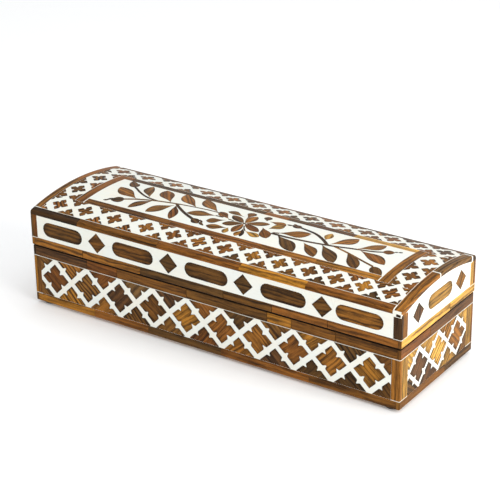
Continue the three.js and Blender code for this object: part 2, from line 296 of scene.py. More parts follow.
def makeBrass(name, look):
    w = Wiring(name)
    place = w.millimetres()
    rub = w.noise(w.scaled(place, 0.25, 6.0, 6.0), 1.0, 3.0)
    age = w.ramp(w.noise(place, 0.35, 4.0, 0.6), 0.42, 0.7)
    rough = w.math("MULTIPLY_ADD", rub, 0.2, look["roughness"])
    rough = w.math("MULTIPLY_ADD", age, 0.18, rough)
    w.dress({"Base Color": w.mix(age, look["bright"], look["aged"]), "Roughness": rough, "Metallic": 1.0})
    w.bump(rub, look["bump"], 0.03)
    return w.material


feltLook = {
    "dark": shade(24, 20, 18), "light": shade(58, 50, 45),
    "fuzz": 5.0, "roughness": 0.95, "sheen": 0.3, "bump": 0.6,
}


def makeFelt(name, look):
    w = Wiring(name)
    fuzz = w.noise(w.millimetres(), look["fuzz"], 4.0, 0.7)
    colour = w.mix(fuzz, look["dark"], look["light"])
    w.dress({"Base Color": colour, "Roughness": look["roughness"], "Sheen Weight": look["sheen"]})
    w.bump(fuzz, look["bump"], 0.2)
    return w.material


woodFinish = makeWood("lacquered wood", woodLook)
boneFinish = makeBone("polished bone", boneLook)
brassFinish = makeBrass("aged brass", brassLook)
feltFinish = makeFelt("dark felt", feltLook)
print("finishes made")


# mesh helpers

def newSheet():
    bm = bmesh.new()
    bm.loops.layers.uv.new("grain")
    bm.loops.layers.float_color.new("tone")
    bm.loops.layers.float_vector.new("figure")
    return bm


def about(spread):
    return random.uniform(-spread, spread)


def newCut():
    # each slip is cut from its own place in the log: its seed, and its shift along and across the grain
    return random.random(), random.uniform(0, 900), random.uniform(0, 90)


def paintFace(bm, face, wood, uvOf, stripe, seed, rims=None):
    uvLayer = bm.loops.layers.uv["grain"]
    toneLayer = bm.loops.layers.float_color["tone"]
    figureLayer = bm.loops.layers.float_vector["figure"]
    for loop in face.loops:
        loop[uvLayer].uv = uvOf(loop.vert)
        loop[toneLayer] = woods[wood]
        rim = rims.get(loop.vert, 0.0) if rims else 0.0
        loop[figureLayer] = (stripe, seed, rim)
    face.material_index = 1 if wood == "bone" else 0


def slicePlane(bm, point, normal, drop=False):
    # cuts everything along a plane, and drops what lies on the normal's side when asked
    everything = bm.verts[:] + bm.edges[:] + bm.faces[:]
    bmesh.ops.bisect_plane(bm, geom=everything, dist=1e-4, plane_co=point, plane_no=normal, clear_outer=drop)


def pourInto(bm, part):
    # moves all of one sheet into another
    held = bpy.data.meshes.new("held")
    part.to_mesh(held)
    part.free()
    bm.from_mesh(held)
    bpy.data.meshes.remove(held)


def easeEdges(piece, width, angle):
    soft = piece.modifiers.new("eased edges", "BEVEL")
    soft.width = width * mm
    soft.segments = 2
    soft.limit_method = "ANGLE"
    soft.angle_limit = math.radians(angle)
    return soft


def linkPiece(bm, name, finishes):
    bmesh.ops.scale(bm, vec=(mm, mm, mm), verts=bm.verts)
    mesh = bpy.data.meshes.new(name)
    bm.to_mesh(mesh)
    bm.free()
    for finish in finishes:
        mesh.materials.append(finish)
    piece = bpy.data.objects.new(name, mesh)
    scene.collection.objects.link(piece)
    return piece


def finishPiece(bm, name, body, bevel=0.0, replaced=()):
    piece = linkPiece(bm, name, (woodFinish, boneFinish))
    piece.data.shade_smooth()
    piece.data.set_sharp_from_angle(angle=math.radians(30))
    if bevel:
        easeEdges(piece, bevel, 32).harden_normals = True
    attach(piece, body)
    if replaced:
        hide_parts(*replaced)


# strips of the CAD, cut into lengths of wood

stripKit = {
    "bevel": 0.12, "seamBevel": 0.45, "groundBevel": 0.05, "gap": 0.05, "stripe": 0.2, "boardStripe": 0.15,
    "frontStripe": 0.1, "endAlong": 0.35, "endAcross": 0.8, "endRim": 0.93,
}


def runsAlong(node):
    return "y" if "left" in node or "right" in node else "x"


def cutLength(node, axis, start, end):
    # one length of a strip: start or end is None where the strip itself ends
    bm = newSheet()
    bm.from_mesh(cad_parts[node].data)
    bmesh.ops.scale(bm, vec=(1 / mm, 1 / mm, 1 / mm), verts=bm.verts)
    bmesh.ops.remove_doubles(bm, verts=bm.verts, dist=0.002)
    for where, facing in ((start, -1), (end, 1)):
        if where is None:
            continue
        point, normal = Vector(), Vector()
        point[axis] = where - facing * stripKit["gap"]
        normal[axis] = facing
        slicePlane(bm, point, normal, drop=True)
        bmesh.ops.holes_fill(bm, edges=[e for e in bm.edges if e.is_boundary])
    bmesh.ops.dissolve_limit(bm, angle_limit=math.radians(0.3), verts=bm.verts[:], edges=bm.edges[:])
    return bm


def paintLength(bm, wood, stripe, grainAxis, frontWood, seam):
    seed, slipU, slipV = newCut()
    first, second = [i for i in range(3) if i != grainAxis]
    for face in bm.faces:
        normal = face.normal
        if normal.z * seam > 0.3:  # painted shade: the faces towards the seam are painted dark ebony, as the shadow in the gap between lid and base
            seamShade = dict.fromkeys(face.verts, 1.0)
            paintFace(bm, face, "ebony", lambda v: (v.co.x + v.co.y, v.co.z), 0.0, seed, seamShade)
        elif frontWood and normal.y < -0.7:
            uvOf = lambda v: (v.co.z + slipU, v.co.x + slipV)
            paintFace(bm, face, frontWood, uvOf, stripKit["frontStripe"], seed)
        elif abs(normal[grainAxis]) > 0.75:  # end grain is short and dark
            along, across = stripKit["endAlong"], stripKit["endAcross"]
            uvOf = lambda v: (v.co[first] * along + slipU, v.co[second] * across + slipV)
            paintFace(bm, face, wood, uvOf, 0.0, seed, dict.fromkeys(face.verts, stripKit["endRim"]))
        else:
            side = first if abs(normal[first]) < abs(normal[second]) else second
            uvOf = lambda v: (v.co[grainAxis] + slipU, v.co[side] + slipV)
            paintFace(bm, face, wood, uvOf, stripe, seed)


def makeStrip(node, lengths, slotName, along=None, grain=None,
              bevel=stripKit["bevel"], frontWood=None, seam=0):
    # a length is where it ends, from the lid's left end or front, its wood, and its own stripe if any
    # frontWood is seen on the front face, and seam is the way that the edge painted dark as the seam's shade
    # faces
    axis = "xyz".index(along or runsAlong(node))
    grainAxis = "xyz".index(grain) if grain else axis
    bm = newSheet()
    start = None
    for number, (reach, wood, *own) in enumerate(lengths):
        end = lidLow[axis] + reach if number < len(lengths) - 1 else None
        part = cutLength(node, axis, start, end)
        paintLength(part, wood, own[0] if own else stripKit["stripe"], grainAxis, frontWood, seam)
        pourInto(bm, part)
        start = end
    kind = "bone" if slotName == "bone" else "wood"
    finishPiece(bm, f"{node}_{kind}", node.split("_")[0], bevel, [node])


toEnd = 900  # past the end of any strip
boards = (
    "base_front_wall", "base_back_wall", "lid_front_wall", "lid_back_wall", "base_left_wall",
    "base_right_wall", "lid_left_end", "lid_right_end", "base_floor", "lid_dome_board",
)
for node in boards:
    makeStrip(node, [(toEnd, "board", stripKit["boardStripe"])], "board")
print("boards made")

rails = {
    "base_front_bottom_rail": [
        (55, "amber"), (103, "teak"), (165, "umber"), (236, "teak"), (toEnd, "chestnut")],
    "base_front_top_rail": [
        (50, "plum", 0.4), (77, "russet"), (137, "chestnut"), (203, "walnut"), (222, "amber"),
        (256, "chestnut"), (toEnd, "chestnut")],
    "base_back_bottom_rail": [(70, "umber"), (152, "teak"), (221, "walnut"), (toEnd, "chestnut")],
    "base_back_top_rail": [(61, "chestnut"), (128, "teak"), (190, "plum"), (toEnd, "olive")],
    "base_left_bottom_rail": [(62, "teak"), (toEnd, "walnut")],
    "base_left_top_rail": [(48, "umber"), (toEnd, "plum")],
    "base_right_bottom_rail": [(62, "chestnut"), (toEnd, "umber")],
    "base_right_top_rail": [(40, "russet"), (toEnd, "plum")],
    "lid_front_bottom_rail": [
        (47, "oak"), (98, "oak"), (168, "umber"), (207, "walnut"), (250, "teak"), (toEnd, "teak")],
    "lid_back_bottom_rail": [(88, "chestnut"), (160, "teak"), (233, "umber"), (toEnd, "oak")],
    "lid_left_bottom_rail": [(50, "oak"), (toEnd, "teak")],
    "lid_right_bottom_rail": [(66, "straw"), (toEnd, "straw")],
    "lid_front_top_rail": [
        (43, "ebony"), (113, "chestnut"), (181, "teak"), (233, "honey"), (297.9, "teak"), (toEnd, "bone")],
    "lid_back_top_rail": [
        (7.4, "bone"), (60, "walnut"), (131, "umber"), (212, "chestnut"), (toEnd, "umber")],
    "lid_left_arch_strip": [(5.7, "bone"), (52, "olive"), (toEnd, "teak")],
    "lid_right_arch_strip": [(50.2, "oak", 0.5), (51.2, "bone"), (95.2, "smoke", 0.4), (toEnd, "bone")],
    "lid_frame_front": [
        (31.3, "bone"), (106, "chestnut"), (181, "teak"), (225, "oak"), (273.5, "amber"), (toEnd, "bone")],
    "lid_frame_back": [
        (36, "teak"), (153, "umber", 0.6), (173, "teak"), (188, "umber"), (226, "plum"), (toEnd, "straw")],
    "lid_frame_left": [(toEnd, "teak")],
    "lid_frame_right": [(toEnd, "oak")],
}
frontFaces = {
    "base_left_top_rail": "ebony", "base_left_bottom_rail": "umber",
    "base_right_top_rail": "chestnut", "base_right_bottom_rail": "olive",
    "lid_left_bottom_rail": "oak", "lid_right_bottom_rail": "chestnut",
    "lid_right_arch_strip": "bone", "lid_back_top_rail": "walnut",
}
# the strips that meet at the seam, and which way they face: their faces towards the seam are painted dark as
# the seam's shade
seams = {"base": ("top", 1), "lid": ("bottom", -1)}
for node, lengths in rails.items():
    level, facing = seams[node.split("_")[0]]
    atSeam = level in node
    bevel = stripKit["seamBevel"] if atSeam else stripKit["bevel"]
    seam = facing if atSeam else 0
    makeStrip(node, lengths, "brown_wood", bevel=bevel, frontWood=frontFaces.get(node), seam=seam)

posts = {
    # where the two slips of a post meet, and the wood on each side of the joint
    "base_post_front_left": ("x", 3.4, "amber", "chestnut"),
    "base_post_front_right": ("y", 2.9, "oak", "wheat"),
    "base_post_back_left": ("x", 2.8, "teak", "walnut"),
    "base_post_back_right": ("y", 98.4, "wheat", "teak"),
    "lid_post_front_left": ("x", 2.6, "umber", "russet"),
    "lid_post_front_right": ("y", 2.5, "ebony", "oak"),
    "lid_post_back_left": ("x", 2.6, "walnut", "teak"),
    "lid_post_back_right": ("y", 98.6, "straw", "teak"),
}
for node, (along, joint, first, second) in posts.items():
    makeStrip(node, [(joint, first), (toEnd, second)], "dark_wood", along=along, grain="z")
print("strips and posts made")

grounds = [f"{body}_{side}_inlay" for body in ("base", "lid") for side in ("front", "back", "left", "right")]
for node in grounds + ["lid_top_border", "lid_top_panel"]:
    makeStrip(node, [(toEnd, "bone")], "bone", along="x", bevel=stripKit["groundBevel"])
print("bone grounds made")


# inlaid shapes: drawn flat in millimetres, then laid on their face

def lozengeOutline(halfWidth, halfHeight):
    corners = ((halfWidth, 0), (0, halfHeight), (-halfWidth, 0), (0, -halfHeight))
    return [Vector(corner) for corner in corners]


def oblong(width, height):
    return [Vector((x * width / 2, y * height / 2)) for x, y in ((1, 1), (-1, 1), (-1, -1), (1, -1))]


def pillOutline(length, height):
    steps = 8  # along each round end
    radius = height / 2
    reach = length / 2 - radius
    points = []
    for side, start in ((1, -math.pi / 2), (-1, math.pi / 2)):
        last = steps if reach > 0 else steps - 1
        for step in range(last + 1):
            angle = start + math.pi * step / steps
            points.append(Vector((side * reach + radius * math.cos(angle), radius * math.sin(angle))))
    return points


def grainAt(angle, slipU, slipV):
    ca, sa = math.cos(angle), math.sin(angle)
    return lambda v: (v.co.x * ca + v.co.y * sa + slipU, -v.co.x * sa + v.co.y * ca + slipV)


def addTile(bm, outline, centre, wood, grainAngle, stripe=0.4, turn=0.0):
    # a fan of faces round the middle, so that the rim can be darker
    centre = Vector(centre)
    spin = Matrix.Rotation(turn, 2)
    ring = [bm.verts.new((*(centre + spin @ p), 0)) for p in outline]
    hub = bm.verts.new((*centre, 0))
    seed, slipU, slipV = newCut()
    uvOf = grainAt(grainAngle, slipU, slipV)
    rims = dict.fromkeys(ring, 1.0)
    for first, second in zip(ring, ring[1:] + ring[:1]):
        paintFace(bm, bm.faces.new((hub, first, second)), wood, uvOf, stripe, seed, rims)


def keepInside(bm, left, right, low, high):
    for edge, way in ((left, -1), (right, 1)):
        slicePlane(bm, (edge, 0, 0), (way, 0, 0), drop=True)
    for edge, way in ((low, -1), (high, 1)):
        slicePlane(bm, (0, edge, 0), (0, way, 0), drop=True)


inlayDepth = {"sunk": 0.35, "proud": 0.10, "bevel": 0.05}


def layTiles(bm, name, body, place,
             bevel=inlayDepth["bevel"], proud=inlayDepth["proud"]):
    # gives the flat shapes their thickness and lays them on the surface
    for face in bm.faces:
        if face.normal.z < 0:
            face.normal_flip()
    thick = bmesh.ops.extrude_face_region(bm, geom=bm.faces[:], use_keep_orig=True)
    raised = {v for v in thick["geom"] if isinstance(v, bmesh.types.BMVert)}
    for vert in bm.verts:
        depth = proud if vert in raised else -inlayDepth["sunk"]
        vert.co = place(vert.co.x, vert.co.y, depth)
    bmesh.ops.recalc_face_normals(bm, faces=bm.faces)
    finishPiece(bm, name, body, bevel)


def onFace(origin, across, up):
    origin, across, up = Vector(origin), Vector(across), Vector(up)
    out = across.cross(up)
    return lambda u, v, d: origin + across * u + up * v + out * d


def fourSides(ends, faces, level):
    # on each side u runs from its left end, seen from outside, and v runs up from the level
    (low, high), (near, far) = ends, faces
    up = (0, 0, 1)
    return {
        "front": onFace((low.x, near.y, level), (1, 0, 0), up),
        "back": onFace((high.x, far.y, level), (-1, 0, 0), up),
        "right": onFace((far.x, low.y, level), (0, 1, 0), up),
        "left": onFace((near.x, high.y, level), (0, -1, 0), up),
    }


lidBlock, baseBlock = (lidLow, lidHigh), (baseLow, baseHigh)
lidSides = fourSides(lidBlock, lidBlock, lidLow.z)
baseSides = fourSides(lidBlock, baseBlock, baseLow.z)


def onDome(x, s, d):
    # s runs over the dome from the front edge
    angle = (s - domeLength / 2) / domeRadius
    reach = domeRadius + d
    return Vector((lidLow.x + x, middleY + reach * math.sin(angle), domeCentre + reach * math.cos(angle)))


# lattice of the base

lattice = {
    "halfWidth": 11.9, "halfHeight": 11.5, "notch": 3.6, "depth": 2.5, "line": 0.28, "wander": 0.25,
    "longPitch": 29.06, "frontStart": 20.5, "backStart": 21.6, "longCount": 10,
    "endPitch": 26.2, "endShift": 0.7, "endCount": 3,
    "halfGrow": 1.03, "topDrop": 0.4, "bottomLift": 0.6, "sideEdge": 0.05,
    "anyWoods": "umber plum walnut chestnut russet olive teak oak amber honey".split(),
    # woods and stripes from the left: whole tiles, then the half tiles at the top and at the bottom
    "front": {
        "full": "russet olive plum chestnut amber teak oak teak oak amber".split(),
        "stripes": [0.1, 1.0, 0.1, 0.15, 0.5, 0.4, 0.2, 0.2, 0.7, 0.2],
        "top": "olive oak russet smoke plum teak umber olive amber umber chestnut".split(),
        "bottom": "olive amber oak walnut olive russet oak plum umber umber walnut".split(),
    },
    "right": {
        "full": "plum straw oak".split(),
        "top": "straw wheat amber straw".split(),
        "bottom": "umber plum wheat walnut".split(),
    },
}
# the thorn of the ground in the middle of a tile's side: shares of its width across, of its depth inward
thorn = ((-0.5, 0.0), (-0.27, 0.3), (-0.1, 0.85), (0.06, 1.0), (0.17, 0.72), (0.3, 0.26), (0.5, 0.0))

# how far hand cut tiles vary: the thorn along its side and in its depth, the grain, the outline, the turn
handCut = {"slide": 0.04, "depth": (0.85, 1.15), "grain": 0.12, "outline": 0.1, "turn": 0.02}


def notchedLozenge(kit, grow):
    # a square on its corner, with a thorn of the ground reaching in at the middle of each side
    points = []
    corners = lozengeOutline(kit["halfWidth"] * grow, kit["halfHeight"] * grow)
    for corner, following in zip(corners, corners[1:] + corners[:1]):
        side = (following - corner).normalized()
        inward = Vector((-side.y, side.x))
        slide = about(handCut["slide"]) * (following - corner).length
        centre = (corner + following) / 2 + side * slide
        reach = kit["depth"] * random.uniform(*handCut["depth"])
        points.append(corner)
        for across, into in thorn:
            points.append(centre + side * kit["notch"] * across + inward * reach * into)
    return points


def latticeTile(bm, kit, x, y, wood, stripe=None, grow=1.0):
    # each tile sits, leans and is shaped a little differently
    at = (x + about(kit["wander"]), y + about(kit["wander"]))
    grain = random.choice((math.pi / 4, -math.pi / 4)) + about(handCut["grain"])
    outline = notchedLozenge(kit, grow)
    for point in outline:
        point += Vector((about(handCut["outline"]), about(handCut["outline"])))
    if stripe is None:
        stripe = random.choice((0.1, 0.15, 0.2, 0.3, 0.9))
    addTile(bm, outline, at, wood, grain, stripe, about(handCut["turn"]))


def anyWood():
    return random.choice(lattice["anyWoods"])


def picked(chosen, row, number):
    # the wood or stripe set for a tile, if there is one
    given = chosen.get(row, ())
    return given[number] if 0 <= number < len(given) else None


def latticePanel(side, edges, start, pitch, count):
    chosen = lattice.get(side, {})
    middle = (fieldLow + fieldHigh) / 2
    bm = newSheet()
    for i in range(-1, count + 1):
        wood = picked(chosen, "full", i) or anyWood()
        latticeTile(bm, lattice, start + pitch * i, middle, wood, picked(chosen, "stripes", i))
    for i in range(-1, count + 2):
        x = start + pitch * (i - 0.5)
        top = picked(chosen, "top", i) or anyWood()
        bottom = picked(chosen, "bottom", i) or anyWood()
        latticeTile(bm, lattice, x, fieldHigh - lattice["topDrop"], top, grow=lattice["halfGrow"])
        latticeTile(bm, lattice, x, fieldLow + lattice["bottomLift"], bottom, grow=lattice["halfGrow"])
    left, right = edges[0] + lattice["sideEdge"], edges[1] - lattice["sideEdge"]
    keepInside(bm, left, right, fieldLow + lattice["line"] * 0.6, fieldHigh - lattice["line"])
    layTiles(bm, f"base_{side}_lattice", "base", baseSides[side])


frontLow, frontHigh = nodeBox("base_front_inlay")
endLow, endHigh = nodeBox("base_right_inlay")
fieldLow, fieldHigh = frontLow.z - baseLow.z, frontHigh.z - baseLow.z
longEdges = (frontLow.x - lidLow.x, frontHigh.x - lidLow.x)
endEdges = (endLow.y - lidLow.y, endHigh.y - lidLow.y)
endStart = lidDepth / 2 - lattice["endPitch"] + lattice["endShift"]
latticePanel("front", longEdges, lattice["frontStart"], lattice["longPitch"], lattice["longCount"])
latticePanel("back", longEdges, lattice["backStart"], lattice["longPitch"], lattice["longCount"])
latticePanel("right", endEdges, endStart, lattice["endPitch"], lattice["endCount"])
latticePanel("left", endEdges, endStart, lattice["endPitch"], lattice["endCount"])
print("lattice laid")


# pills and lozenges of the lid

pillKit = {
    "pill": (35.5, 11.1), "lozenge": (7.7, 7.6), "level": 15.0, "pillStripe": 0.35, "lozengeStripe": 0.3,
    "frontPills": [(29.5, "walnut"), (92, "chestnut"), (154.3, "walnut"), (216, "walnut"), (274, "oak")],
    "frontLozenges": [(60.5, "chestnut"), (122.7, "umber"), (184.5, "umber"), (246, "walnut")],
    "backPills": [(30, "teak"), (91, "umber"), (152.4, "oak"), (213.6, "walnut"), (275, "chestnut")],
    "backLozenges": [(60.6, "walnut"), (121.8, "teak"), (183, "chestnut"), (244.2, "umber")],
    "endPill": (33.0, 10.7), "endLozenge": (7.2, 7.4),
    "endLevel": 17.3, "endSpread": 29, "endShift": (0.4, 0.6), "endGrains": (1.4, 0.02, 1.3),
    "rightWoods": ("plum", "wheat", "amber"), "leftWoods": ("teak", "umber", "walnut"),
}


def longPanel(side):
    bm = newSheet()
    for x, wood in pillKit[f"{side}Pills"]:
        grain, turn = about(0.03), about(0.01)
        outline = pillOutline(*pillKit["pill"])
        addTile(bm, outline, (x, pillKit["level"]), wood, grain, pillKit["pillStripe"], turn)
    for x, wood in pillKit[f"{side}Lozenges"]:
        grain, turn = about(0.2), about(0.02)
        outline = lozengeOutline(*pillKit["lozenge"])
        addTile(bm, outline, (x, pillKit["level"]), wood, grain, pillKit["lozengeStripe"], turn)
    layTiles(bm, f"lid_{side}_pills", "lid", lidSides[side])


def endPanel(side):
    # one pill between two lozenges, with the grain of the lozenges almost upright
    bm = newSheet()
    slips = list(zip(pillKit[f"{side}Woods"], pillKit["endGrains"]))
    middle, level, spread = lidDepth / 2, pillKit["endLevel"], pillKit["endSpread"]
    shiftX, shiftY = pillKit["endShift"]
    lozenge, pill = lozengeOutline(*pillKit["endLozenge"]), pillOutline(*pillKit["endPill"])
    addTile(bm, lozenge, (middle - spread, level), *slips[0])
    addTile(bm, pill, (middle + shiftX, level + shiftY), *slips[1])
    addTile(bm, lozenge, (middle + spread, level), *slips[2])
    layTiles(bm, f"lid_{side}_pills", "lid", lidSides[side])


longPanel("front")
longPanel("back")
endPanel("right")
endPanel("left")

# a bone patch at the head of the front right post, with a small dark end piece on it
cornerMark = {
    "patchSize": (6.2, 2.2), "patchAt": (301.3, 23.3), "markAt": (302.3, 23.6), "proud": 0.16,
    "mark": ((-1.9, -0.9), (1.4, -1.1), (1.7, 0.7), (-1.5, 0.9)),
}
patch = newSheet()
addTile(patch, oblong(*cornerMark["patchSize"]), cornerMark["patchAt"], "bone", 0.0)
layTiles(patch, "lid_corner_patch", "lid", lidSides["front"])
mark = newSheet()
addTile(mark, [Vector(p) for p in cornerMark["mark"]], cornerMark["markAt"], "ebony", 0.2, 0.0)
layTiles(mark, "lid_corner_mark", "lid", lidSides["front"], proud=cornerMark["proud"])

stringing = {"height": 0.34, "inset": 0.3}


def addStrings(body, block, bothEnds):
    # thin bone lines across the posts, at their feet and where asked at their heads
    postLow, postHigh = nodeBox(f"{body}_post_front_left")
    size, inset = block[1] - block[0], stringing["inset"]
    levels = (postLow.z, postHigh.z) if bothEnds else (postLow.z,)
    for side, place in fourSides(block, block, 0).items():
        axis = "xyz".index("y" if side in ("left", "right") else "x")
        width = (postHigh - postLow)[axis] - inset
        bm = newSheet()
        for level in levels:
            for centre in (inset + width / 2, size[axis] - inset - width / 2):
                addTile(bm, oblong(width, stringing["height"]), (centre, level), "bone", 0.0)
        layTiles(bm, f"{body}_{side}_stringing", body, place, bevel=0)


addStrings("base", baseBlock, True)
addStrings("lid", lidBlock, False)
print("pills and lozenges laid")


# lattice border of the top

border = {
    "halfWidth": 7.0, "halfHeight": 6.8, "notch": 2.9, "depth": 2.1, "wander": 0.25, "line": 0.3,
    "halfGrow": 1.08, "overlap": 0.4, "frontRow": 14.3, "sideRows": (38.2, 62.8), "backRow": 88.5,
    # where the whole tiles and the half tiles stand along the front and back bands, then beside the frame
    "columns": (17.0, 40.4, 66.2, 94.2, 117.6, 138.9, 160.8, 183.0, 204.4, 227.6, 248.4, 268.8, 288.6),
    "halves": (5.2, 29.0, 54.0, 80.2, 106.2, 128.8, 150.0, 171.8, 193.2, 215.6, 237.6, 259.0, 279.0, 299.8),
    "sideHalves": (26.4, 50.4, 75.4),
    "frontWoods": "teak chestnut teak oak teak oak teak amber amber chestnut oak honey teak".split(),
    "anyWoods": "teak oak chestnut walnut olive umber teak oak chestnut".split(),
}


def borderTile(bm, x, s, wood=None, grow=1.0):
    latticeTile(bm, border, x, s, wood or random.choice(border["anyWoods"]), None, grow)


def addBand(bm, lowX, highX, lowS, highS, fulls, halves):
    band = newSheet()
    for x, s, wood in fulls:
        borderTile(band, x, s, wood)
    for x, s in halves:
        borderTile(band, x, s, None, border["halfGrow"])
    line = border["line"]
    keepInside(band, lowX + line, highX - line, lowS + line, highS - line)
    pourInto(bm, band)


def cutForDome(bm, step=3.0):
    # the flat shapes are cut across, so that they bend with the dome
    for i in range(1, int(domeLength / step) + 1):
        slicePlane(bm, (0, i * step, 0), (0, 1, 0))


# the bands in flat measure: x from the lid's left end, s over the dome from its front edge
frameLow, frameHigh = nodeBox("lid_frame_left")
outerX, innerX = borderLow.x - lidLow.x, frameLow.x - lidLow.x
outerS, innerS = overDome(borderReach), overDome((frameHigh.y - frameLow.y) / 2)
crownS = domeLength / 2
line, overlap = border["line"], border["overlap"]
anyRow = [None] * len(border["columns"])
bm = newSheet()
for row, tileWoods, lowS, highS in (
    (border["frontRow"], border["frontWoods"], crownS - outerS, crownS - innerS),
    (border["backRow"], anyRow, crownS + innerS, crownS + outerS),
):
    fulls = [(x, row, wood) for x, wood in zip(border["columns"], tileWoods)]
    halves = [(x, s) for x in border["halves"] for s in (lowS + line, highS - line)]
    addBand(bm, outerX, lidLength - outerX, lowS, highS, fulls, halves)
for lowX, highX in ((outerX, innerX), (lidLength - innerX, lidLength - outerX)):
    fulls = [((lowX + highX) / 2, s, None) for s in border["sideRows"]]
    halves = [(x, s) for x in (lowX + line, highX - line) for s in border["sideHalves"]]
    addBand(bm, lowX, highX, crownS - innerS - overlap, crownS + innerS + overlap, fulls, halves)
cutForDome(bm)
layTiles(bm, "lid_border_lattice", "lid", onDome)
print("border laid")


# the scroll: stems, leaves, petals and buds

